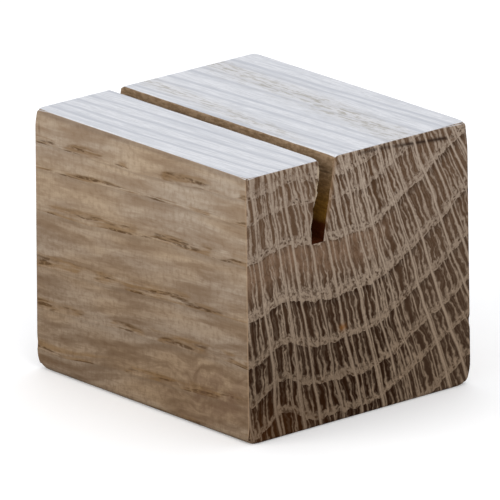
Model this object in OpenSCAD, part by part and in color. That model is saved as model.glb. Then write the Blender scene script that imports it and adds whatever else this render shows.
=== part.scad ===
/* [Block] */
// Length along the grain, which is also the length of the slot
block_length = 60; // [45:0.5:90]
// Depth from the front face to the back face
block_depth = 53; // [44:0.5:80]
// Height from the table to the top face
block_height = 50; // [36:0.5:75]

/* [Photo slot] */
// Distance from the front face to the front lip of the slot
slot_setback = 17.4; // [12:0.2:22]
// Width of the slot at the top face
slot_mouth = 3.2; // [2.6:0.1:5]
// Width of the slot at its floor
slot_floor = 2.8; // [2:0.1:4]
// Depth of the slot, straight down from the top face
slot_depth = 15.4; // [8:0.2:22]
// Angle at which the slot, and the print in it, leans back from upright
slot_lean = 9; // [0:0.5:15]
// Rounding of the front lip of the slot
front_lip_round = 0.25; // [0.1:0.05:0.8]
// Rounding of the back lip, which the leaning print bears on
back_lip_round = 0.45; // [0.1:0.05:0.8]

/* [Eased edges] */
// Rounding of the four edges of the top face
top_round = 0.4; // [0.2:0.1:3]
// Rounding of the two upright edges at the front
front_upright_round = 0.7; // [0.3:0.1:4]
// Rounding of the two upright edges at the back
back_upright_round = 1.2; // [0.3:0.1:4]
// Rounding of the bottom edge along the front
front_foot_round = 0.8; // [0.3:0.1:4]
// Rounding of the bottom edge along the back
back_foot_round = 2.2; // [0.3:0.1:4]
// Rounding of the bottom edge at the left end
left_foot_round = 2.2; // [0.3:0.1:4]
// Rounding of the bottom edge at the right end
right_foot_round = 0.8; // [0.3:0.1:4]
// How far the sanded corners stand back from where a sharp corner would be
corner_nip = 0.7; // [0.1:0.1:2]

/* [Hidden] */
$fn = 96;

// The slot's section lies in the plane of the end grain: first number to the back, second up
front_lip = [slot_setback - block_depth / 2, block_height];
back_lip = front_lip + [slot_mouth, 0];
// The saw is tilted, so the floor lies nearer the front than the mouth does
floor_middle = (front_lip + back_lip) / 2 - [slot_depth * tan(slot_lean), slot_depth];
front_heel = floor_middle - [slot_floor / 2, 0];
back_heel = floor_middle + [slot_floor / 2, 0];
// How far the saw cut is drawn on above the top face
overrun = 1;
// Reach of the sanded corners from the middle of the block
corner_reach = norm([block_length, block_depth, block_height]) / 2 - corner_nip;
oak = [0.63, 0.55, 0.45];

// Rounding of a lip, in an arc that meets both the top face and the slot's wall.
// outward is the way from the lip along the top face: -1 to the front, 1 to the back.
// The three points that it gives are named below.
function lip_arc(lip, heel, outward, rounding) =
    let (
        top = [outward, 0],
        wall = (heel - lip) / norm(heel - lip),
        half_angle = acos(top * wall) / 2,
        run = rounding / tan(half_angle),
        inward = (top + wall) / norm(top + wall))
    [lip + top * run, lip + wall * run, lip + inward * rounding / sin(half_angle)];
END_ON_TOP = 0;
END_ON_WALL = 1;
CENTRE = 2;
front_arc = lip_arc(front_lip, front_heel, -1, front_lip_round);
back_arc = lip_arc(back_lip, back_heel, 1, back_lip_round);

// Rectangle centred on the origin. Each corner has its own rounding,
// listed anticlockwise from the lower left.
module eased_rectangle(width, height, rounds) {
    side = [[-1, -1], [1, -1], [1, 1], [-1, 1]];
    centre = [for (i = [0:3]) [side[i].x * (width / 2 - rounds[i]), side[i].y * (height / 2 - rounds[i])]];
    // At each corner the outline leaves one side and joins the next at the ends of the arc
    arc_ends = [for (i = [0:3])
        let (across = centre[i] + [side[i].x * rounds[i], 0], along = centre[i] + [0, side[i].y * rounds[i]])
        each i % 2 == 0 ? [across, along] : [along, across]];
    polygon(arc_ends);
    for (i = [0:3])
        translate(centre[i])
            circle(r = rounds[i]);
}

// The block's outline seen from the end, with the saw cut that the print stands in
module end_grain_section() {
    rise = [0, overrun];
    difference() {
        translate([0, block_height / 2])
            eased_rectangle(block_depth, block_height,
                [front_foot_round, back_foot_round, top_round, top_round]);
        // The cut goes straight across each lip, from one end of its arc to the other
        polygon([
            front_heel, back_heel,
            back_arc[END_ON_WALL], back_arc[END_ON_TOP], back_arc[END_ON_TOP] + rise,
            front_arc[END_ON_TOP] + rise, front_arc[END_ON_TOP], front_arc[END_ON_WALL]]);
    }
    // The rounded lips stand out from there
    translate(front_arc[CENTRE])
        circle(r = front_lip_round);
    translate(back_arc[CENTRE])
        circle(r = back_lip_round);
}

// The block's outline seen from the front, where the long grain shows
module front_section() {
    translate([0, block_height / 2])
        eased_rectangle(block_length, block_height,
            [left_foot_round, right_foot_round, top_round, top_round]);
}

// The block's outline seen from above
module top_section() {
    eased_rectangle(block_length, block_depth,
        [front_upright_round, front_upright_round, back_upright_round, back_upright_round]);
}

// One piece of solid oak. Its edges are eased one direction at a time, as a
// round-over cutter does, and its corners are then sanded a little further.
module oak_block() {
    color(oak)
        intersection() {
            rotate([90, 0, 90])
                linear_extrude(height = block_length, center = true)
                    end_grain_section();
            rotate([90, 0, 0])
                linear_extrude(height = block_depth, center = true)
                    front_section();
            linear_extrude(height = block_height)
                top_section();
            translate([0, 0, block_height / 2])
                sphere(r = corner_reach);
        }
}

oak_block();
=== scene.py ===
import math

import bpy
import numpy as np
from mathutils import Matrix, Vector


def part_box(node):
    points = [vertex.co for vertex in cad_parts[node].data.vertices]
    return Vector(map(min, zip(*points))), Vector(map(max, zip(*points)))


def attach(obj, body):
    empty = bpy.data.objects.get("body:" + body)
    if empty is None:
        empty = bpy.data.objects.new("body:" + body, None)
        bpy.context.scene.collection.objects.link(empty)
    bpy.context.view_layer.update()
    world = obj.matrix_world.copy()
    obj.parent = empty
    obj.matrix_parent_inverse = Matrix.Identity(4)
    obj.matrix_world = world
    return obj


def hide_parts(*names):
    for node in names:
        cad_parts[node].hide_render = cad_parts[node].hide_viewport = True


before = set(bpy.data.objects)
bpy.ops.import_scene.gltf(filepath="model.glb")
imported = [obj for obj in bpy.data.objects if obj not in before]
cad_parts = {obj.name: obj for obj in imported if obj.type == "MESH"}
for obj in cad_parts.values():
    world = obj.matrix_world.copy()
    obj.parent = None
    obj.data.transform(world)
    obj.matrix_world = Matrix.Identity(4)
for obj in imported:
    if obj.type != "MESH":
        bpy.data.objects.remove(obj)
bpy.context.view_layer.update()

MM = 0.001

# The view. The block is seen from a little above, with its long-grain front to the left and
# its end grain to the right, through a long lens that leaves its upright edges almost parallel.
view_turn = math.radians(49.571)     # round from square-on to the front face
view_rise = math.radians(17.749)     # up from level
view_roll = math.radians(-0.554)
view_distance = 1.7672
view_shift_right = -0.383 * MM
view_shift_up = -0.901 * MM
photo_width_px = 500
focal_length_px = 9722

block_low, block_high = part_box("oak_block")
block_length, block_depth, block_height = block_high - block_low

back_way = Vector((
    math.sin(view_turn) * math.cos(view_rise),
    -math.cos(view_turn) * math.cos(view_rise),
    math.sin(view_rise)))
level_right = Vector((math.cos(view_turn), math.sin(view_turn), 0))
level_up = back_way.cross(level_right)
right_way = math.cos(view_roll) * level_right + math.sin(view_roll) * level_up
up_way = math.cos(view_roll) * level_up - math.sin(view_roll) * level_right

view_data = bpy.data.cameras.new("view")
view_data.sensor_width = 36
view_data.lens = focal_length_px / photo_width_px * view_data.sensor_width
view_data.clip_start = 0.01
view = bpy.data.objects.new("view", view_data)
bpy.context.collection.objects.link(view)
view_place = (
    Vector((0, 0, block_height / 2)) + back_way * view_distance
    + right_way * view_shift_right + up_way * view_shift_up)
view_axes = Matrix((right_way, up_way, back_way)).transposed().to_4x4()
view.matrix_world = Matrix.Translation(view_place) @ view_axes
bpy.context.scene.camera = view

# The oak block, its shape. It is one piece of solid oak, crosscut and ripped square, with one
# saw cut from end to end that leans back. Its edges were eased by hand on sandpaper, so each
# is a little different and the corners are rounder, and the saw tore the cut's edges at the ends.
slot_setback = 17.4 * MM
slot_mouth = 3.2 * MM
slot_floor_width = 2.8 * MM
slot_depth = 15.4 * MM
slot_lean = math.radians(9)
front_lip_round = 0.25 * MM
back_lip_round = 0.45 * MM
lip_unevenness, lip_wave = 0.35, 2.3 * MM
# Rounding of each edge, by the sides that it lies between: front or back, left or right, foot or top
edge_rounds = {
    ("y-", "z+"): 0.35 * MM, ("y+", "z+"): 0.75 * MM, ("y-", "z-"): 1.4 * MM, ("y+", "z-"): 1.8 * MM,
    ("x-", "z+"): 1.0 * MM, ("x+", "z+"): 0.4 * MM, ("x-", "z-"): 2.2 * MM, ("x+", "z-"): 0.6 * MM,
    ("x-", "y-"): 0.25 * MM, ("x+", "y-"): 0.7 * MM, ("x-", "y+"): 1.0 * MM, ("x+", "y+"): 0.25 * MM,
}
# Rounding of each corner, and how far along its edges that reaches
corner_rounds = {
    ("x-", "y-", "z+"): (1.1 * MM, 2.5 * MM), ("x+", "y-", "z+"): (0.5 * MM, 2 * MM),
    ("x+", "y+", "z+"): (1.1 * MM, 4 * MM), ("x-", "y+", "z+"): (1.2 * MM, 2.5 * MM),
    ("x-", "y-", "z-"): (1.7 * MM, 2.2 * MM), ("x+", "y-", "z-"): (1.4 * MM, 2 * MM),
    ("x+", "y+", "z-"): (1.7 * MM, 2.6 * MM), ("x-", "y+", "z-"): (2.2 * MM, 3 * MM),
}
# How much the block narrows from its foot to its top, side by side
narrowing = {"x-": 0.58 * MM, "x+": 0.24 * MM, "y+": 0.42 * MM}
# Dents in the upright edges: which edge, height, length, depth
edge_dents = [(("x+", "y+"), 12 * MM, 0.8 * MM, 0.16 * MM), (("x-", "y-"), 5 * MM, 0.8 * MM, 0.1 * MM)]
rounding_per_dent_depth = 3
# Chips along the slot's back lip: distance from the left end, length, extra rounding
lip_chips = [
    (18 * MM, 1.2 * MM, 0.35 * MM), (33 * MM, 0.8 * MM, 0.15 * MM), (49 * MM, 1.6 * MM, 0.4 * MM),
    (60 * MM, 1.3 * MM, 0.8 * MM)]
# Tear-out where the blade left the wood, at the two ends of the cut
tear_depth = 0.34 * MM
tear_reach = 0.45 * MM
tear_spacing = (0.35 * MM, 1.1 * MM)
tear_teeth, tear_unevenness = 40, 1.6
wall_bow = {"front": 0.16 * MM, "back": 0.09 * MM}
# Near the right end the front wall wanders: how far down the cut, and how far back it stands there
wander_down = [0, 0.05, 0.12, 0.22, 0.40, 0.62, 0.90, 1.0]
wander_back = np.array([-0.50, -0.32, 0.0, 0.04, 0.10, -0.24, -0.06, 0.0]) * MM
wander_reach = 2.2 * MM

floor_height = block_height - slot_depth
front_lip = block_low.y + slot_setback
back_lip = front_lip + slot_mouth
floor_middle = (front_lip + back_lip) / 2 - slot_depth * math.tan(slot_lean)
wall_ends = {
    "front": (front_lip, floor_middle - slot_floor_width / 2),
    "back": (back_lip, floor_middle + slot_floor_width / 2),
}
chance = np.random.default_rng(11)


def torn_edge():
    """Depth of the tear-out by height: uneven teeth from the foot of the cut to the top."""
    heights = floor_height + np.cumsum(chance.uniform(*tear_spacing, tear_teeth))
    depths = chance.uniform(0, 1, tear_teeth) ** tear_unevenness * tear_depth
    return lambda z: np.interp(z, heights, depths, left=0)


torn = {(side, end): torn_edge() for end in (1, -1) for side in ("front", "back")}
tear_share = {"front": 1.0, "back": 0.35}


def wall_place(side, x, z):
    """How far back a wall of the slot stands at x and z. Below the slot it gives the heel's place."""
    at_top, at_floor = wall_ends[side]
    down = np.clip((block_height - z) / slot_depth, 0, 1)
    place = at_top + (at_floor - at_top) * down + wall_bow[side] * np.sin(2 * math.pi * down)
    outward = -1 if side == "front" else 1
    for end in (-1, 1):
        to_end = block_length / 2 - end * x
        tear = torn[side, end](z) * np.exp(-to_end / tear_reach) * tear_share[side]
        place = place + outward * tear * (z > floor_height)
    if side == "front":
        near_right = np.exp(-(block_length / 2 - x) / wander_reach)
        place = place + np.interp(down, wander_down, wander_back) * near_right
    return place


# Lines that the surface is divided by: close together at the edges, a step apart between
edge_lines = np.array([0, 0.07, 0.15, 0.25, 0.38, 0.55, 0.75, 1.0, 1.3, 1.7, 2.2, 2.8]) * MM


def divided(length, step, fine_start=True, fine_end=True):
    first = edge_lines if fine_start else edge_lines[:1]
    last = length - (edge_lines if fine_end else edge_lines[:1])[::-1]
    steps = max(2, round((last[0] - first[-1]) / step))
    return np.concatenate([first, np.linspace(first[-1], last[0], steps + 1)[1:-1], last])


x_lines = block_low.x + divided(block_length, 1.0 * MM)
z_below = divided(floor_height, 0.8 * MM, fine_end=False)
z_beside = floor_height + divided(slot_depth, 0.25 * MM, fine_start=False)
z_lines = np.concatenate([z_below, z_beside[1:]])
front_share = divided(slot_setback, 0.7 * MM) / slot_setback
slot_share = np.linspace(0, 1, 6)
back_run = block_depth - slot_setback - slot_mouth
back_share = divided(back_run, 0.8 * MM) / back_run
share = np.concatenate([front_share, slot_share[1:-1], back_share])
front_wall = len(front_share) - 1
back_wall = front_wall + len(slot_share) - 1
floor_row = len(z_below) - 1
last_x, last_y, last_z = len(x_lines) - 1, len(share) - 1, len(z_lines) - 1

# The surface as squares, each named by its corners' line numbers along x, y and z
squares = []
sawn = []


def cover(fixed, at, first, second, keep=None, faces_up=True, is_sawn=False):
    """Covers one flat side of the block or the slot with squares, where keep allows them."""
    a, b = np.meshgrid(first, second, indexing="ij")
    a, b = a.ravel(), b.ravel()
    if keep is not None:
        chosen = keep(a, b)
        a, b = a[chosen], b[chosen]
    corners = []
    for step_a, step_b in ((0, 0), (1, 0), (1, 1), (0, 1)):
        line = [a + step_a, b + step_b]
        line.insert(fixed, np.full(len(a), at))
        corners.append(np.stack(line, -1))
    square = np.stack(corners, 1)
    squares.append(square if faces_up else square[:, ::-1])
    sawn.append(np.full(len(a), is_sawn))


def outside_slot(y, z):
    return ~((y >= front_wall) & (y < back_wall) & (z >= floor_row))


def beside_slot(x, y):
    return (y < front_wall) | (y >= back_wall)


along = np.arange(last_x)
across = np.arange(last_y)
upward = np.arange(last_z)
cover(0, last_x, across, upward, outside_slot)
cover(0, 0, across, upward, outside_slot, faces_up=False)
cover(1, 0, along, upward)
cover(1, last_y, along, upward, faces_up=False)
cover(2, 0, along, across, faces_up=False)
cover(2, last_z, along, across, beside_slot)
cover(1, front_wall, along, upward[floor_row:], faces_up=False, is_sawn=True)
cover(1, back_wall, along, upward[floor_row:], is_sawn=True)
cover(2, floor_row, along, np.arange(front_wall, back_wall), is_sawn=True)
squares = np.concatenate(squares)
sawn = np.concatenate(sawn)
line_numbers, corner_of = np.unique(squares.reshape(-1, 3), axis=0, return_inverse=True)
corner_of = corner_of.reshape(-1, 4)

# Where each point lies on the square-edged block, with the walls of the slot leaning
x = x_lines[line_numbers[:, 0]]
z = z_lines[line_numbers[:, 2]]
y_line = line_numbers[:, 1]
front_place = wall_place("front", x, z)
back_place = wall_place("back", x, z)
y = np.where(
    y_line <= front_wall,
    block_low.y + share[y_line] * (front_place - block_low.y),
    np.where(
        y_line < back_wall,
        front_place + share[y_line] * (back_place - front_place),
        back_place + share[y_line] * (block_high.y - back_place)))


def eased(distances, rounding):
    """Moves points within reach of an edge onto its arc, and those below it in step.
    distances holds how deep each point lies behind the sides that meet at the edge."""
    inside = np.maximum(rounding[:, None] - distances, 0)
    longest = inside.max(1, keepdims=True)
    length = np.maximum(np.linalg.norm(inside, axis=1, keepdims=True), 1e-12)
    shorter = inside * (longest / length)
    return np.where(inside > 0, rounding[:, None] - shorter, distances)


# The slot's lips, uneven along their length, and the back one chipped here and there
def uneven(place, spacing, seed):
    knots = np.arange(-0.05, 0.05, spacing)
    return np.interp(place, knots, np.random.default_rng(seed).uniform(-1, 1, len(knots)))


for side, rounding, outward in (("front", front_lip_round, -1), ("back", back_lip_round, 1)):
    wall = front_place if side == "front" else back_place
    seed = 5 + outward
    lip_round = rounding * (1 + lip_unevenness * uneven(x, lip_wave, seed))
    if side == "back":
        for place, length, extra in lip_chips:
            lip_round = lip_round + extra * np.exp(-((x - block_low.x - place) / length) ** 2)
    on_side = y_line <= front_wall if side == "front" else y_line >= back_wall
    from_wall = outward * (y - wall)
    depth = block_height - z
    moved = eased(np.stack([from_wall, depth], 1), lip_round)
    y = np.where(on_side, wall + outward * moved[:, 0], y)
    z = np.where(on_side, block_height - moved[:, 1], z)

# The outer edges, eased one direction at a time, and then the corners
middle = np.array((block_low + block_high) / 2)
half = np.array((block_high - block_low) / 2)
points = np.stack([x, y, z], 1)
sides = {name + sign: (axis, s) for axis, name in enumerate("xyz") for sign, s in (("-", -1), ("+", 1))}


def depth_behind(side):
    axis, sign = sides[side]
    return half[axis] - sign * (points[:, axis] - middle[axis])


def ease_between(meeting, rounding):
    """Rounds the block where the named sides meet, by the rounding given for each point."""
    moved = eased(np.stack([depth_behind(side) for side in meeting], 1), rounding)
    for number, side in enumerate(meeting):
        axis, sign = sides[side]
        points[:, axis] = middle[axis] + sign * (half[axis] - moved[:, number])


for edge, size in edge_rounds.items():
    rounding = np.full(len(points), size)
    for dented, dent_height, length, depth in edge_dents:
        if dented == edge:
            extra = rounding_per_dent_depth * depth
            rounding = rounding + extra * np.exp(-((points[:, 2] - dent_height) / length) ** 2)
    ease_between(edge, rounding)
for corner, (size, reach) in corner_rounds.items():
    away = np.linalg.norm(np.stack([depth_behind(side) for side in corner], 1), axis=1)
    ease_between(corner, size * np.exp(-(away / reach) ** 2))
up_share = (points[:, 2] - block_low.z) / block_height
drawn_in = np.zeros_like(points)
for side, size in narrowing.items():
    axis, sign = sides[side]
    towards_side = 0.5 + sign * (points[:, axis] - middle[axis]) / (2 * half[axis])
    drawn_in[:, axis] -= sign * size * up_share * towards_side
points = points + drawn_in

raw_mesh = bpy.data.meshes.new("sawn_blank")
raw_mesh.from_pydata(points.tolist(), [], corner_of.tolist())
raw_mesh.update()
raw_mesh.polygons.foreach_set("use_smooth", np.ones(len(corner_of), bool))
sawn_faces = raw_mesh.attributes.new("sawn", "BOOLEAN", "FACE")
sawn_faces.data.foreach_set("value", sawn)
sawn_share = raw_mesh.attributes.new("sawn_share", "FLOAT", "POINT")
is_wall = np.zeros(len(points))
is_wall[corner_of[sawn].ravel()] = 1
sawn_share.data.foreach_set("value", is_wall)
blank = bpy.data.objects.new("sawn_blank", raw_mesh)
bpy.context.collection.objects.link(blank)

# The oak block, its wood. Plain-sawn oak with the heart of the tree above it: growth rings that
# dip in the middle and climb to the back, broad rays that fan out from the heart, bands of open
# pores at each ring, and light flames between the rays. It is left bare, and the sheen on its top
# is painted into the top's colour as a bluish white.
SPAN_LOW, SPAN_HIGH = -6.0, 66.0      # mm of levelled depth that the ring scale covers
ring_depths = [-6, -4, 3.6, 8.0, 15.8, 26.6, 34.8, 42.5, 48.8, 56, 62]      # mm, ring by ring


def place_node(tree, kind, inputs=(), **settings):
    """Adds a node, sets its settings, and joins or fills its inputs by name or number."""
    node = tree.nodes.new(kind)
    for name, value in settings.items():
        setattr(node, name, value)
    for key, value in dict(inputs).items():
        socket = node.inputs[key]
        if isinstance(value, bpy.types.NodeSocket):
            tree.links.new(value, socket)
        else:
            socket.default_value = value
    return node


def calc(tree, operation, *values):
    return place_node(tree, "ShaderNodeMath", dict(enumerate(values)), operation=operation).outputs[0]


def times(tree, *values):
    """All the values multiplied together."""
    product = values[0]
    for value in values[1:]:
        product = calc(tree, "MULTIPLY", product, value)
    return product


def times_plus(tree, value, factor, extra):
    """The value times the factor, with the extra added."""
    return calc(tree, "MULTIPLY_ADD", value, factor, extra)


def swayed(tree, value, noise, swing):
    """The value with noise added, by up to half the swing either way."""
    return times_plus(tree, calc(tree, "SUBTRACT", noise, 0.5), swing, value)


def step_up(tree, value, start, end):
    """0 below start, 1 above end, and smooth between; it falls where start is above end."""
    inputs = {"Value": value, "From Min": start, "From Max": end}
    return place_node(tree, "ShaderNodeMapRange", inputs, interpolation_type="SMOOTHSTEP").outputs[0]


def between(tree, value, rise, fall):
    """1 between two slopes and 0 outside them. Each slope is given by where it is 0 and where it is 1."""
    return times(tree, step_up(tree, value, *rise), step_up(tree, value, *fall))


def bell(tree, value, middle, width):
    """1 at the middle, falling away smoothly on both sides."""
    away = calc(tree, "DIVIDE", calc(tree, "SUBTRACT", value, middle), width)
    return calc(tree, "EXPONENT", times(tree, away, away, -1.0))


def cloud(tree, vector, scale=1.0, detail=2.0, roughness=0.5):
    inputs = {"Vector": vector, "Scale": scale, "Detail": detail, "Roughness": roughness}
    return place_node(tree, "ShaderNodeTexNoise", inputs).outputs[0]


def scattered(tree, vector, randomness):
    """How far away the nearest of many scattered points lies, with about one to each whole step."""
    inputs = {"Vector": vector, "Scale": 1.0, "Randomness": randomness}
    return place_node(tree, "ShaderNodeTexVoronoi", inputs).outputs["Distance"]


def grain_place(tree, along, across, level, per_along, per_across, per_level):
    """A place in the wood, in steps of its own to a millimetre each way."""
    pairs = ((along, per_along), (across, per_across), (level, per_level))
    steps = {number: times(tree, *pair) for number, pair in enumerate(pairs)}
    return place_node(tree, "ShaderNodeCombineXYZ", steps).outputs[0]


def grain_cloud(tree, grown, per_along, per_across, per_level, detail=2.0, roughness=0.5):
    """Clouded patches that follow the grain, in steps of their own to a millimetre each way."""
    along, across, level = grown["Along"], grown["Across"], grown["Level"]
    place = grain_place(tree, along, across, level, per_along, per_across, per_level)
    return cloud(tree, place, detail=detail, roughness=roughness)


def lines(tree, place, pitch, randomness, half_width, soft, swelling=0.0):
    """Lines about a pitch apart, 1 in their middle. The swelling makes them wider, place by place."""
    inputs = {"W": calc(tree, "DIVIDE", place, pitch), "Scale": 1.0, "Randomness": randomness}
    node = place_node(tree, "ShaderNodeTexVoronoi", inputs, voronoi_dimensions="1D")
    distance = times(tree, node.outputs["Distance"], pitch)
    return step_up(tree, calc(tree, "SUBTRACT", distance, swelling), half_width + soft, half_width - soft)


def blend_colour(tree, amount, under, over):
    """The under colour where the amount is 0, the over colour where it is 1, and a mix between."""
    return place_node(tree, "ShaderNodeMix", {0: amount, 6: under, 7: over}, data_type="RGBA").outputs[2]


def paint(red, green, blue):
    """A colour as it is seen on a screen, 0 to 255, in the linear light that shaders take."""
    def linear(part):
        part = part / 255
        return part / 12.92 if part <= 0.04045 else ((part + 0.055) / 1.055) ** 2.4
    return (linear(red), linear(green), linear(blue), 1.0)


def tinted(tree, colour, where, share, tint):
    """The colour with a tint over it: where is 1 at full share, and 0 for none."""
    return blend_colour(tree, times(tree, where, share), colour, paint(*tint))


def shader_group(name, inputs, outputs):
    group = bpy.data.node_groups.new(name, "ShaderNodeTree")
    for label, kind in inputs:
        group.interface.new_socket(label, in_out="INPUT", socket_type=kind)
    for label, kind in outputs:
        group.interface.new_socket(label, in_out="OUTPUT", socket_type=kind)
    return group, group.nodes.new("NodeGroupInput").outputs, group.nodes.new("NodeGroupOutput").inputs


VALUE, VECTOR = "NodeSocketFloat", "NodeSocketVector"

# Where a point lies in the tree: which ring, how far through it, and how far round the tree
growth, given, result = shader_group(
    "oak growth", [("Position", VECTOR)],
    [("Along", VALUE), ("Back", VALUE), ("Down", VALUE), ("Across", VALUE), ("Level", VALUE), ("Ring", VALUE),
     ("Through", VALUE)])
to_mm = {0: given["Position"], "Scale": 1 / MM}
in_mm = place_node(growth, "ShaderNodeVectorMath", to_mm, operation="SCALE").outputs[0]
parts = place_node(growth, "ShaderNodeSeparateXYZ", {0: in_mm}).outputs
along_mm = calc(growth, "ADD", parts[0], block_length / 2 / MM)
back_mm = calc(growth, "ADD", parts[1], block_depth / 2 / MM)
down_mm = calc(growth, "SUBTRACT", block_height / MM, parts[2])
from_right = calc(growth, "SUBTRACT", block_length / MM, along_mm)
slow_steps = {0: in_mm, 1: (0.03, 0.085, 0.085)}
slow_place = place_node(growth, "ShaderNodeVectorMath", slow_steps, operation="MULTIPLY").outputs[0]
slow_noise = place_node(growth, "ShaderNodeTexNoise", {"Vector": slow_place, "Scale": 1.0, "Detail": 2.0})
sway = place_node(growth, "ShaderNodeSeparateColor", {0: slow_noise.outputs["Color"]}).outputs
# How far round the tree, measured about its heart. The rays drift aside towards the left end
heart_front, heart_up, fan_radius = 18.0, 140.0, 165.0
ray_drift, ray_sway = 0.05, 1.8
behind_heart = calc(growth, "ADD", back_mm, heart_front)
below_heart = calc(growth, "ADD", down_mm, heart_up)
round_mm = times(growth, calc(growth, "ARCTAN2", behind_heart, below_heart), fan_radius)
round_mm = times_plus(growth, from_right, ray_drift, round_mm)
round_mm = swayed(growth, round_mm, sway[1], ray_sway)
# The rings lie deeper towards the left end
ring_fall, ring_sway = 0.045, 2.4
fall = times(growth, from_right, ring_fall)
# They climb towards the back, after a soft start, and one near the top bulges up on its way
climb_from, climb_soft, climb = 30.0, 4.0, 0.31
climb_at_top, climb_lost_per_mm = 1.06, 0.0055
past = calc(growth, "SUBTRACT", back_mm, climb_from)
ramp = calc(growth, "ADD", past, calc(growth, "SQRT", times_plus(growth, past, past, climb_soft ** 2)))
climb_share = times_plus(growth, down_mm, -climb_lost_per_mm, climb_at_top)
rise = times(growth, ramp, climb, climb_share)
bulge_at, bulge_width, bulge_reach, bulge_height = 33.5, 4.0, 7.0, 1.2
near_top = bell(growth, down_mm, 0.0, bulge_reach)
bulge = times(growth, bell(growth, back_mm, bulge_at, bulge_width), near_top, bulge_height)
# They dip under a hump near the front, and turn down again at the front face
hump_at, hump_width, hump_at_top, hump_gain_per_mm = 8.2, 4.4, 0.3, 0.065
hump_height = times_plus(growth, down_mm, hump_gain_per_mm, hump_at_top)
hump = times(growth, bell(growth, back_mm, hump_at, hump_width), hump_height)
front_dip_width, front_dip_depth = 3.5, 0.8
front_dip = times(growth, bell(growth, back_mm, 0.0, front_dip_width), front_dip_depth)
level = calc(growth, "ADD", calc(growth, "ADD", down_mm, rise), bulge)
level = calc(growth, "ADD", level, calc(growth, "SUBTRACT", hump, calc(growth, "ADD", fall, front_dip)))
level = swayed(growth, level, sway[0], ring_sway)
# Each ring's edge is lumpy, where its first pores crowd against the dark wood before it
lump_swing = 1.5
lumps = cloud(growth, grain_place(growth, along_mm, round_mm, level, 0.025, 0.85, 0.35), detail=1.5)
level = swayed(growth, level, lumps, lump_swing)
span = SPAN_HIGH - SPAN_LOW
scale_place = calc(growth, "DIVIDE", calc(growth, "SUBTRACT", level, SPAN_LOW), span)
ring_scale = place_node(growth, "ShaderNodeFloatCurve", {"Value": scale_place})
scale_curve = ring_scale.mapping.curves[0]
last_ring = len(ring_depths)
marks = [((depth - SPAN_LOW) / span, number / last_ring) for number, depth in enumerate(ring_depths)]
scale_curve.points[0].location = marks[0]
scale_curve.points[1].location = (1.0, 1.0)
for mark in marks[1:]:
    scale_curve.points.new(*mark)
for point in scale_curve.points:
    point.handle_type = "VECTOR"
ring_scale.mapping.update()
ring = times(growth, ring_scale.outputs[0], float(last_ring))
for label, value in (("Along", along_mm), ("Back", back_mm), ("Down", down_mm), ("Across", round_mm),
                     ("Level", level), ("Ring", ring), ("Through", calc(growth, "FRACT", ring))):
    growth.links.new(value, result[label])

# The cells of the wood: open pores, broad and fine rays, and the flames of the late wood
cells, given, result = shader_group(
    "oak cells",
    [("Along", VALUE), ("Across", VALUE), ("Level", VALUE), ("Through", VALUE)],
    [("Band", VALUE), ("Pores", VALUE), ("Long Pores", VALUE), ("Broad Rays", VALUE), ("Soft Rays", VALUE),
     ("Fine Rays", VALUE), ("Flames", VALUE)])
along_mm, across_mm, level, through = (given[name] for name in ("Along", "Across", "Level", "Through"))

# The band of open pores fills the last part of each ring, and ends there sharply
band_from, band_full, band_ragged = 0.74, 0.84, 0.42      # shares of the way through a ring
ragged_through = swayed(cells, through, grain_cloud(cells, given, 0.1, 1.5, 0.9, 3.0, 0.7), band_ragged)
band = step_up(cells, ragged_through, band_from, band_full)
pore_place = grain_place(cells, along_mm, across_mm, level, 0.2, 1.2, 1.3)
pores = step_up(cells, scattered(cells, pore_place, 0.85), 0.44, 0.14)
# Seen along the grain, pores run into each other in broken lines of uneven length
long_bend = grain_cloud(cells, given, 0.5, 0.6, 0.6)
long_along = swayed(cells, along_mm, long_bend, 5.0)
long_level = times_plus(cells, long_bend, 0.3, level)
long_place = grain_place(cells, long_along, across_mm, long_level, 0.10, 1.4, 1.75)
long_breaks = step_up(cells, grain_cloud(cells, given, 0.65, 1.6, 2.0), 0.32, 0.54)
long_pores = times(cells, step_up(cells, scattered(cells, long_place, 0.95), 0.60, 0.32), long_breaks)
# Rays run straight out from the heart
broad_pitch, fine_pitch, flame_pitch, wisp_pitch = 4.1, 2.4, 1.25, 0.62
bent = swayed(cells, across_mm, grain_cloud(cells, given, 0.05, 0.2, 0.12), 0.6)
ray_width = swayed(cells, 0.0, grain_cloud(cells, given, 0.05, 0.42, 0.03), 0.6)
ray_breaks = step_up(cells, grain_cloud(cells, given, 0.08, 0.5, 0.07), 0.24, 0.36)
broad = times(cells, lines(cells, bent, broad_pitch, 0.6, 0.21, 0.20, ray_width), ray_breaks)
soft_rays = lines(cells, bent, broad_pitch, 0.6, 0.45, 0.42)
fine_breaks = step_up(cells, grain_cloud(cells, given, 0.1, 0.9, 0.12), 0.38, 0.5)
fine = times(cells, lines(cells, bent, fine_pitch, 0.85, 0.14, 0.13), fine_breaks)
# Flames waver, start thin below each band of pores, and widen towards the next
wavered = swayed(cells, across_mm, grain_cloud(cells, given, 0.06, 0.6, 0.45), 1.7)
uneven_width = calc(cells, "SUBTRACT", grain_cloud(cells, given, 0.1, 1.25, 0.8, 3.0, 0.6), 0.5)
widening = times_plus(cells, step_up(cells, through, -0.1, 1.0), 0.26, -0.15)
swelling = times_plus(cells, uneven_width, 0.62, widening)
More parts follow.
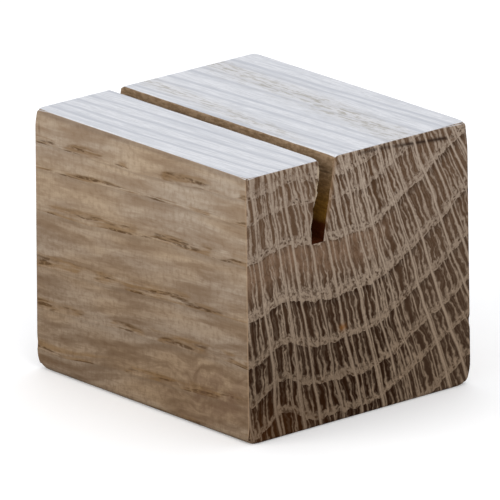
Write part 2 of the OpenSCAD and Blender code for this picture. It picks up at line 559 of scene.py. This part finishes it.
# They crowd together in the narrow rings nearest the heart
swelling = times_plus(cells, step_up(cells, level, 17.0, 9.0), 0.10, swelling)
threads = lines(cells, wavered, flame_pitch, 0.62, 0.18, 0.24, swelling)
thread_breaks = step_up(cells, grain_cloud(cells, given, 0.1, 0.9, 0.22), 0.30, 0.42)
wisps = lines(cells, wavered, wisp_pitch, 0.9, 0.09, 0.14, times(cells, uneven_width, 0.5))
flames = calc(cells, "MAXIMUM", times(cells, threads, thread_breaks), times(cells, wisps, 0.18))
for label, value in (("Band", band), ("Pores", pores), ("Long Pores", long_pores), ("Broad Rays", broad),
                     ("Soft Rays", soft_rays), ("Fine Rays", fine), ("Flames", flames)):
    cells.links.new(value, result[label])


def oak_material(name):
    """A material with the tree's growth and cells laid out in it, ready for its own colours."""
    material = bpy.data.materials.new(name)
    material.use_nodes = True
    tree = material.node_tree
    tree.nodes.clear()
    surface = place_node(tree, "ShaderNodeBsdfPrincipled")
    out = place_node(tree, "ShaderNodeOutputMaterial")
    tree.links.new(surface.outputs[0], out.inputs["Surface"])
    where = place_node(tree, "ShaderNodeTexCoord").outputs
    grown = place_node(tree, "ShaderNodeGroup", node_tree=growth)
    tree.links.new(where["Object"], grown.inputs["Position"])
    celled = place_node(tree, "ShaderNodeGroup", node_tree=cells)
    for label in ("Along", "Across", "Level", "Through"):
        tree.links.new(grown.outputs[label], celled.inputs[label])
    height = place_node(tree, "ShaderNodeSeparateXYZ", {0: where["Object"]}).outputs[2]
    return material, tree, surface, where, height, grown.outputs, celled.outputs


sanded_oak, tree, surface, where, height, grown, celled = oak_material("sanded oak")
facing = place_node(tree, "ShaderNodeSeparateXYZ", {0: where["Normal"]}).outputs
end_facing = calc(tree, "ABSOLUTE", facing[0])
end_grain = step_up(tree, end_facing, 0.42, 0.66)
arris = times(tree, step_up(tree, end_facing, 0.15, 0.42), calc(tree, "SUBTRACT", 1.0, end_grain))
towards_foot = step_up(tree, height, block_height, 0.0)
pore_share = times(tree, celled["Pores"], celled["Band"])
fine_mottle = cloud(tree, where["Object"], 900.0, 4.0, 0.6)
speckle = cloud(tree, where["Object"], 3200.0, 2.0)

# End grain: dark late wood, light flames and rays, and light bands dotted with pores
# Painted shade: the foot colours are darker, partly the wood's own tone and partly the shade that falls low
# on the faces near the table
dark_top, dark_foot = (90, 66, 47), (36, 15, 0)
light_top, ray_foot, flame_foot = (187, 169, 151), (160, 139, 117), (158, 136, 113)
end_tone_and_shade_down = step_up(tree, height, block_height, 0.1 * block_height)
late_dark = blend_colour(tree, end_tone_and_shade_down, paint(*dark_top), paint(*dark_foot))
# The dark wood is darkest just under each band, where the rings are clear
clear_rings = step_up(tree, grown["Ring"], 3.3, 3.6)
under_band = step_up(tree, grown["Through"], 0.20, 0.02)
under_band = times(tree, under_band, times_plus(tree, clear_rings, 0.45, 0.3))
late_dark = blend_colour(tree, under_band, late_dark, paint(34, 13, 0))
# It is a warmer, mottled brown in the widest ring, up to where the rings climb
warm_ring = between(tree, grown["Level"], (15.2, 16.6), (25.0, 18.5))
warm_ring = times(tree, warm_ring, step_up(tree, grown["Back"], 38.0, 26.0))
warm_mottle = step_up(tree, grain_cloud(tree, grown, 0.1, 0.7, 0.35, 3.0, 0.6), 0.32, 0.62)
warm_share = times(tree, warm_ring, times_plus(tree, warm_mottle, 0.5, 0.28))
late_dark = blend_colour(tree, warm_share, late_dark, paint(140, 111, 88))
clouded = step_up(tree, grain_cloud(tree, grown, 0.1, 0.22, 0.22), 0.35, 0.65)
clouded = times(tree, clouded, times_plus(tree, towards_foot, -0.2, 0.2))
late_dark = blend_colour(tree, clouded, late_dark, paint(124, 98, 76))
# It is paler by the front's upper edge and towards the back
upper_front = times(tree, step_up(tree, grown["Back"], 24.0, 12.0), step_up(tree, grown["Down"], 22.0, 10.0))
far_back = step_up(tree, grown["Back"], 30.0, 44.0)
paler = calc(tree, "MAXIMUM", times(tree, upper_front, 0.25), times(tree, far_back, 0.14))
late_dark = blend_colour(tree, paler, late_dark, paint(134, 108, 86))
# Light flames and fine rays lie over it, fainter towards the back and in the warm ring
light_share = calc(tree, "MAXIMUM", celled["Flames"], celled["Fine Rays"])
light_share = times(
    tree, light_share, times_plus(tree, fine_mottle, 1.3, 0.2), times_plus(tree, far_back, -0.14, 1.0),
    times_plus(tree, warm_ring, -0.18, 1.0))
# The band is mottled, light between its pores
band_strength = times(tree, times_plus(tree, clear_rings, 0.3, 0.55), times_plus(tree, far_back, -0.12, 1.0))
band_mottle = step_up(tree, grain_cloud(tree, grown, 0.2, 1.0, 1.1, 3.0, 0.62), 0.38, 0.58)
band_light = times(tree, band_strength, times_plus(tree, band_mottle, 0.74, 0.24))
light_share = calc(tree, "MAXIMUM", light_share, times(tree, celled["Band"], band_light))
light_share = calc(tree, "MAXIMUM", light_share, times(tree, celled["Broad Rays"], 0.96))
# All the light wood is duller by the front's upper edge, and low down at the front
lower_front = times(tree, step_up(tree, grown["Back"], 42.0, 8.0), step_up(tree, grown["Down"], 24.0, 40.0))
duller = times_plus(tree, upper_front, -0.16, times_plus(tree, lower_front, -0.27, 1.0))
light_share = times(tree, light_share, duller)
flame_wood = blend_colour(tree, end_tone_and_shade_down, paint(*light_top), paint(*flame_foot))
ray_wood = blend_colour(tree, end_tone_and_shade_down, paint(*light_top), paint(*ray_foot))
light_wood = blend_colour(tree, celled["Broad Rays"], flame_wood, ray_wood)
end_colour = blend_colour(tree, calc(tree, "MINIMUM", light_share, 1.0), late_dark, light_wood)
off_rays = calc(tree, "SUBTRACT", 1.0, celled["Broad Rays"])
end_colour = tinted(tree, end_colour, times(tree, pore_share, off_rays), 0.85, (68, 46, 28))
end_colour = tinted(tree, end_colour, step_up(tree, speckle, 0.5, 0.75), 0.3, (46, 29, 15))
# The end is stained a warmer brown low down, towards the front
stain = times(tree, step_up(tree, grown["Down"], 38.0, 50.0), step_up(tree, grown["Back"], 26.0, 4.0))
end_colour = tinted(tree, end_colour, stain, 0.2, (104, 62, 24))
# A spot of resin on the right end
right_end = step_up(tree, grown["Along"], 58.0, 59.0)
resin = times(tree, bell(tree, grown["Back"], 22.2, 0.75), bell(tree, grown["Down"], 32.5, 0.65), right_end)
end_colour = tinted(tree, end_colour, resin, 0.75, (140, 92, 44))
# A hair crack runs just under the top edge of the right end, and slopes down towards the back
crack_least_down, crack_slope, crack_offset, crack_width = 0.8, 0.084, -1.78, 0.36
crack_down = times_plus(tree, grown["Back"], crack_slope, crack_offset)
crack_down = calc(tree, "MAXIMUM", crack_down, crack_least_down)
crack_run = between(tree, grown["Back"], (24.5, 28.0), (49.0, 46.5))
crack_run = times(tree, crack_run, times_plus(tree, step_up(tree, grown["Back"], 35.0, 39.0), 0.35, 0.6))
off_crack = calc(tree, "SUBTRACT", grown["Down"], crack_down)
crack = times(tree, crack_run, bell(tree, off_crack, 0.0, crack_width), off_rays, right_end)
end_colour = tinted(tree, end_colour, crack, 0.95, (48, 33, 24))

# How far a point lies behind each wall of the slot, in mm
closing = (slot_mouth - slot_floor_width) / 2 / slot_depth
behind_front_lip = calc(tree, "SUBTRACT", grown["Back"], slot_setback / MM)
behind_back_lip = calc(tree, "SUBTRACT", grown["Back"], (slot_setback + slot_mouth) / MM)
behind_front_wall = times_plus(tree, grown["Down"], math.tan(slot_lean) - closing, behind_front_lip)
behind_back_wall = times_plus(tree, grown["Down"], math.tan(slot_lean) + closing, behind_back_lip)
# Pale fibres that the blade tore along the slot's front wall
beside_wall = between(tree, behind_front_wall, (-0.75, -0.15), (2.0, 1.0))
beside_wall = times(tree, beside_wall, step_up(tree, grown["Down"], 14.6, 12.0))
torn_fibres = step_up(tree, cloud(tree, where["Object"], 1100.0, 3.0, 0.6), 0.40, 0.56)
end_colour = tinted(tree, end_colour, times(tree, beside_wall, torn_fibres), 0.75, (196, 176, 148))
# The blade rubbed the edge behind the slot's back wall to a soft tan
rubbed = between(tree, behind_back_wall, (-1.0, -0.3), (1.1, 0.1))
rubbed = times(tree, rubbed, step_up(tree, grown["Down"], 14.0, 9.0))
end_colour = tinted(tree, end_colour, rubbed, 0.6, (146, 114, 82))

# Long grain: soft tan in clouds and streaks, darker under each band, with dashes where pores lie open
# Painted shade: the foot colours are darker, partly the wood's own tone and partly the shade that falls low
# on the faces near the table
tan_top, tan_foot = (184, 168, 150), (158, 139, 118)
warm_tan_top, warm_tan_foot = (188, 166, 140), (158, 134, 107)
brown_top, brown_foot = (140, 115, 90), (100, 76, 54)
tan = blend_colour(tree, towards_foot, paint(*tan_top), paint(*tan_foot))
warm_tan = blend_colour(tree, towards_foot, paint(*warm_tan_top), paint(*warm_tan_foot))
brown = blend_colour(tree, towards_foot, paint(*brown_top), paint(*brown_foot))
hue_cloud = step_up(tree, grain_cloud(tree, grown, 0.035, 0.1, 0.16), 0.35, 0.65)
long_colour = blend_colour(tree, hue_cloud, tan, warm_tan)
# Streaks climb a little more steeply than the rings do, most of all low down
lean = times_plus(tree, towards_foot, 0.12, 0.01)
leaning = times_plus(tree, grown["Along"], lean, grown["Level"])
# They swirl low on the front, near the end grain
swirl_place = times(tree, bell(tree, grown["Along"], 49.0, 12.0), bell(tree, grown["Level"], 41.0, 8.0))
swirl_turn = calc(tree, "SUBTRACT", cloud(tree, where["Object"], 110.0, 2.0), 0.5)
leaning = times_plus(tree, times(tree, swirl_place, swirl_turn), 22.0, leaning)
streak_place = grain_place(tree, grown["Along"], grown["Across"], leaning, 0.06, 0.26, 0.46)
streaks = step_up(tree, cloud(tree, streak_place, detail=4.0, roughness=0.58), 0.38, 0.70)
blotches = step_up(tree, grain_cloud(tree, grown, 0.06, 0.24, 0.36, 4.0, 0.62), 0.44, 0.68)
fibre = grain_cloud(tree, grown, 0.13, 2.4, 3.4, 4.0, 0.6)
fibre_lines = step_up(tree, fibre, 0.42, 0.70)
for darker, amount in ((streaks, 0.66), (blotches, 0.62), (fibre_lines, 0.24)):
    long_colour = blend_colour(tree, times(tree, darker, amount), long_colour, brown)
grey_under_band = step_up(tree, grown["Through"], 0.16, 0.02)
long_colour = tinted(tree, long_colour, grey_under_band, 0.3, (112, 95, 78))
# Open pores lie in groups, in a soft olive-brown streak
patches = step_up(tree, grain_cloud(tree, grown, 0.11, 0.4, 0.35, 1.0), 0.42, 0.52)
near_band = step_up(tree, grown["Through"], 0.70, 0.84)
halo_cloud = step_up(tree, grain_cloud(tree, grown, 0.12, 1.2, 1.4, 3.0), 0.34, 0.62)
long_colour = tinted(tree, long_colour, times(tree, near_band, patches, halo_cloud), 0.62, (130, 98, 58))
in_band = step_up(tree, grown["Through"], 0.76, 0.86)
dashes = times(tree, celled["Long Pores"], times(tree, in_band, patches))
long_colour = tinted(tree, long_colour, dashes, 0.8, (74, 50, 25))
# Faint scratches that the sandpaper left across the grain
hatching = step_up(tree, grain_cloud(tree, grown, 5.0, 0.6, 0.35), 0.45, 0.7)
for darker, amount in ((step_up(tree, fine_mottle, 0.42, 0.72), 0.42), (hatching, 0.16)):
    long_colour = blend_colour(tree, times(tree, darker, amount), long_colour, brown)
# A darker, redder patch low on the front, near the end grain
swirl = times(tree, bell(tree, grown["Along"], 51.0, 10.0), bell(tree, grown["Level"], 42.0, 5.5))
swirl_cloud = step_up(tree, cloud(tree, where["Object"], 330.0, 4.0, 0.65), 0.38, 0.62)
long_colour = tinted(tree, long_colour, times(tree, swirl, swirl_cloud), 0.65, (106, 80, 62))
# A grey line along the eased upper edge, just below the white top
rim_low, rim_high, rim_uneven = 1.2 * MM, 0.4 * MM, 0.5 * MM
rim_place = times_plus(tree, fine_mottle, rim_uneven, height)
rim = step_up(tree, rim_place, block_height - rim_low, block_height - rim_high)
long_colour = tinted(tree, long_colour, rim, 0.4, (116, 98, 82))
# A short scratch near the front's upper left corner
scratch = times(
    tree, bell(tree, grown["Along"], 1.75, 0.13), bell(tree, grown["Down"], 3.9, 1.1),
    step_up(tree, grown["Back"], 1.0, 0.5))
long_colour = tinted(tree, long_colour, scratch, 0.75, (104, 80, 58))
oak_colour = blend_colour(tree, end_grain, long_colour, end_colour)
# The upright edges between long grain and end grain are paler
upright = step_up(tree, calc(tree, "ABSOLUTE", facing[2]), 0.35, 0.1)
oak_colour = tinted(tree, oak_colour, times(tree, arris, upright), 0.5, (172, 144, 116))

# The white top: painted sheen. The glare on the top is painted into its colour as a bluish white, greyer
# along the rays, with open pores showing through
sheen_low, sheen_high = 0.6 * MM, 0.2 * MM
top_sheen = times(tree, step_up(tree, facing[2], 0.55, 0.85), step_up(
    tree, height, block_height - sheen_low, block_height - sheen_high))
sheen_colour = blend_colour(tree, step_up(tree, fibre, 0.35, 0.7), paint(223, 224, 228), paint(202, 204, 209))
top_streaks = step_up(tree, grain_cloud(tree, grown, 0.03, 0.55, 0.55, 2.0), 0.45, 0.62)
sheen_colour = tinted(tree, sheen_colour, top_streaks, 0.45, (193, 196, 203))
sheen_colour = tinted(tree, sheen_colour, celled["Soft Rays"], 0.7, (183, 186, 194))
sheen_colour = tinted(tree, sheen_colour, step_up(tree, fine_mottle, 0.45, 0.7), 0.3, (194, 195, 198))
# A ring grazes the top behind the slot; there the painted sheen is thinner and the ring's pores show
graze_line = times_plus(tree, grown["Along"], 0.075, grown["Back"])
graze = times(tree, bell(tree, graze_line, 26.0, 2.0), step_up(tree, grown["Along"], 55.0, 38.0))
ring_under_sheen = calc(tree, "MAXIMUM", bell(tree, grown["Level"], 5.9, 1.55), times(tree, graze, 0.8))
flecks = step_up(tree, grain_cloud(tree, grown, 0.30, 1.5, 1.5, 4.0, 0.65), 0.47, 0.62)
sheen_colour = tinted(tree, sheen_colour, ring_under_sheen, 0.55, (207, 205, 205))
sheen_colour = tinted(tree, sheen_colour, times(tree, ring_under_sheen, flecks), 0.8, (160, 155, 144))
# Painted sheen: the bluish white is laid over the top's oak colour
oak_colour = blend_colour(tree, times(tree, top_sheen, 0.98), oak_colour, sheen_colour)
tree.links.new(oak_colour, surface.inputs["Base Color"])
roughness = times_plus(tree, fibre, 0.2, 0.5)
tree.links.new(roughness, surface.inputs["Roughness"])
surface.inputs["Specular IOR Level"].default_value = 0.05
relief = calc(tree, "SUBTRACT", times(tree, fibre, 0.3), pore_share)
bump = place_node(tree, "ShaderNodeBump", {"Height": relief, "Strength": 0.5, "Distance": 0.08 * MM})
tree.links.new(bump.outputs[0], surface.inputs["Normal"])

# The walls of the slot: tan near the mouth, darker down the cut and near-black at the floor, partly painted
# shade of the narrow slot and partly scorch from the blade
sawn_oak, tree, surface, where, height, grown, celled = oak_material("sawn oak")
mouth_light, mouth_dark = (156, 132, 106), (127, 104, 79)
deep_light, deep_dark = (134, 96, 38), (108, 74, 26)
deep_from, scorch_and_shade_from, scorch_and_shade_full = 5.5 * MM, 4.2 * MM, 2.8 * MM      # above the floor
# Painted shade: the walls darken down into the narrow slot
shade_down_wall = step_up(tree, height, block_height, floor_height + deep_from)
wall_light = blend_colour(tree, shade_down_wall, paint(*mouth_light), paint(*deep_light))
wall_dark = blend_colour(tree, shade_down_wall, paint(*mouth_dark), paint(*deep_dark))
mottle_place = grain_place(tree, grown["Along"], grown["Back"], grown["Down"], 0.8, 1.6, 1.6)
mottle = step_up(tree, cloud(tree, mottle_place, detail=4.0, roughness=0.65), 0.36, 0.62)
wall_colour = blend_colour(tree, mottle, wall_light, wall_dark)
fibre = grain_cloud(tree, grown, 0.15, 2.5, 2.5, 3.0)
wall_colour = tinted(tree, wall_colour, step_up(tree, fibre, 0.5, 0.7), 0.3, (70, 50, 30))
# Near the floor the walls go near-black: painted shade at the foot of the cut, together with scorch from the
# blade
scorch_and_shade = step_up(tree, height, floor_height + scorch_and_shade_from, floor_height + scorch_and_shade_full)
wall_colour = tinted(tree, wall_colour, scorch_and_shade, 0.9, (58, 10, 2))
pore_share = times(tree, celled["Pores"], celled["Band"])
wall_colour = tinted(tree, wall_colour, pore_share, 0.6, (84, 62, 40))
tree.links.new(wall_colour, surface.inputs["Base Color"])
surface.inputs["Roughness"].default_value = 0.75
surface.inputs["Specular IOR Level"].default_value = 0.05
relief = calc(tree, "SUBTRACT", fibre, pore_share)
bump = place_node(tree, "ShaderNodeBump", {"Height": relief, "Strength": 0.6, "Distance": 0.1 * MM})
tree.links.new(bump.outputs[0], surface.inputs["Normal"])

# The oak block, its finish. The blade's teeth left arcs on the walls of the slot, one for each
# tooth as the wood was fed past it, and the sandpaper left the outer faces very slightly wavy.
finish = bpy.data.node_groups.new("saw and sanding marks", "GeometryNodeTree")
finish.is_modifier = True
finish.interface.new_socket("Geometry", in_out="INPUT", socket_type="NodeSocketGeometry")
finish_sizes = {
    "Blade Radius": 120 * MM,
    "Slot Floor Height": floor_height,
    "Feed per Tooth": 1.6 * MM,
    "Tooth Mark Depth": 0.05 * MM,
    "Sanding Wave Length": 11 * MM,
    "Sanding Depth": 0.05 * MM,
}
for label in finish_sizes:
    finish.interface.new_socket(label, in_out="INPUT", socket_type="NodeSocketFloat")
finish.interface.new_socket("Geometry", in_out="OUTPUT", socket_type="NodeSocketGeometry")
given = finish.nodes.new("NodeGroupInput").outputs
result = finish.nodes.new("NodeGroupOutput").inputs
here = place_node(finish, "GeometryNodeInputPosition").outputs[0]
parts = place_node(finish, "ShaderNodeSeparateXYZ", {0: here}).outputs
# Each mark is a circle of the blade's radius, and its middle moves along with the feed
blade_middle = calc(finish, "ADD", given["Slot Floor Height"], given["Blade Radius"])
above = calc(finish, "DIVIDE", calc(finish, "SUBTRACT", blade_middle, parts[2]), given["Blade Radius"])
squared_swing = calc(finish, "SUBTRACT", 1.0, times(finish, above, above))
swing = calc(finish, "SQRT", calc(finish, "MAXIMUM", squared_swing, 0.0))
tooth_place = times_plus(finish, swing, given["Blade Radius"], parts[0])
fed = calc(finish, "DIVIDE", tooth_place, given["Feed per Tooth"])
tooth = times_plus(finish, calc(finish, "SINE", times(finish, fed, 2 * math.pi)), 0.5, 0.5)
wall_share = place_node(
    finish, "GeometryNodeInputNamedAttribute", {"Name": "sawn_share"}, data_type="FLOAT").outputs[0]
tooth_depth = times(finish, times(finish, tooth, wall_share), given["Tooth Mark Depth"])
wave_scale = calc(finish, "DIVIDE", 1.0, given["Sanding Wave Length"])
wave = cloud(finish, here, wave_scale, detail=1.0)
sanded_depth = times(finish, wave, given["Sanding Depth"])
inward = times(finish, calc(finish, "ADD", tooth_depth, sanded_depth), -1.0)
normal = place_node(finish, "GeometryNodeInputNormal").outputs[0]
offset = place_node(
    finish, "ShaderNodeVectorMath", {0: normal, "Scale": inward}, operation="SCALE").outputs[0]
marked = place_node(finish, "GeometryNodeSetPosition", {"Geometry": given["Geometry"], "Offset": offset})
whole = place_node(finish, "GeometryNodeRealizeInstances", {"Geometry": marked.outputs[0]})
is_sawn = place_node(
    finish, "GeometryNodeInputNamedAttribute", {"Name": "sawn"}, data_type="BOOLEAN").outputs[0]
sanded = {"Geometry": whole.outputs[0], "Material": sanded_oak}
dressed = place_node(finish, "GeometryNodeSetMaterial", sanded).outputs[0]
sawn_walls = {"Geometry": dressed, "Selection": is_sawn, "Material": sawn_oak}
dressed = place_node(finish, "GeometryNodeSetMaterial", sawn_walls).outputs[0]
finish.links.new(dressed, result[0])

marks_left = blank.modifiers.new("finish", "NODES")
marks_left.node_group = finish
for item in finish.interface.items_tree:
    if item.in_out == "INPUT" and item.name in finish_sizes:
        marks_left[item.identifier] = finish_sizes[item.name]
evaluated = blank.evaluated_get(bpy.context.evaluated_depsgraph_get())
block_mesh = bpy.data.meshes.new_from_object(evaluated)
bpy.data.objects.remove(blank)
for name in ("sawn", "sawn_share"):
    block_mesh.attributes.remove(block_mesh.attributes[name])
block = bpy.data.objects.new("sanded_oak_block", block_mesh)
bpy.context.collection.objects.link(block)
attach(block, "root")
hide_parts("oak_block")

# The table and the light. A plain white sheet carries the block and its shadow, in an even white
# room with three broad soft lamps: one above and behind, and one to each side.
table_half = 1.5
table_mesh = bpy.data.meshes.new("table")
table_corners = [(x * table_half, y * table_half, 0) for x, y in ((-1, -1), (1, -1), (1, 1), (-1, 1))]
table_mesh.from_pydata(table_corners, [], [(0, 1, 2, 3)])
table = bpy.data.objects.new("table", table_mesh)
bpy.context.collection.objects.link(table)
sheet = bpy.data.materials.new("white sheet")
sheet.use_nodes = True
tree = sheet.node_tree
sheet_surface = tree.nodes["Principled BSDF"]
sheet_surface.inputs["Roughness"].default_value = 0.9
seen = place_node(tree, "ShaderNodeLightPath").outputs["Is Camera Ray"]
# The sheet throws less light on the block than it shows to the camera
bounced, shown_white, glow = (0.45, 0.45, 0.46, 1), (0.96, 0.96, 0.96, 1), 0.17
sheet_colour = blend_colour(tree, seen, bounced, shown_white)
tree.links.new(sheet_colour, sheet_surface.inputs["Base Color"])
sheet_surface.inputs["Emission Color"].default_value = (1, 1, 1, 1)
tree.links.new(times(tree, seen, glow), sheet_surface.inputs["Emission Strength"])
table_mesh.materials.append(sheet)

world = bpy.data.worlds.new("white room")
bpy.context.scene.world = world
world.use_nodes = True
tree = world.node_tree
tree.nodes.clear()
path = place_node(tree, "ShaderNodeLightPath").outputs
mirrored = calc(tree, "MAXIMUM", path["Is Glossy Ray"], path["Is Transmission Ray"])
shown = calc(tree, "MAXIMUM", path["Is Camera Ray"], mirrored)
room = place_node(tree, "ShaderNodeBackground", {"Color": (0.62, 0.63, 0.65, 1), "Strength": 1.0})
backdrop = place_node(tree, "ShaderNodeBackground", {"Color": (1, 1, 1, 1), "Strength": 1.0})
either = place_node(tree, "ShaderNodeMixShader", {0: shown, 1: room.outputs[0], 2: backdrop.outputs[0]})
out = place_node(tree, "ShaderNodeOutputWorld", {"Surface": either.outputs[0]})


def soft_lamp(name, place, size, power, colour):
    data = bpy.data.lights.new(name, "AREA")
    data.shape = "SQUARE"
    data.size = size
    data.energy = power
    data.color = colour
    lamp = bpy.data.objects.new(name, data)
    bpy.context.collection.objects.link(lamp)
    towards = Vector((0, 0, block_height / 2)) - Vector(place)
    lamp.matrix_world = Matrix.Translation(place) @ towards.to_track_quat("-Z", "Y").to_matrix().to_4x4()


soft_lamp("lamp above", (-0.15, 0.35, 1.0), 0.9, 2.6, (0.97, 0.98, 1.0))
soft_lamp("lamp left", (-0.35, -1.0, 0.55), 0.7, 5.0, (1.0, 0.98, 0.95))
soft_lamp("lamp right", (1.0, -0.35, 0.55), 0.7, 4.0, (1.0, 0.98, 0.95))

scene = bpy.context.scene
scene.view_settings.view_transform = "Standard"
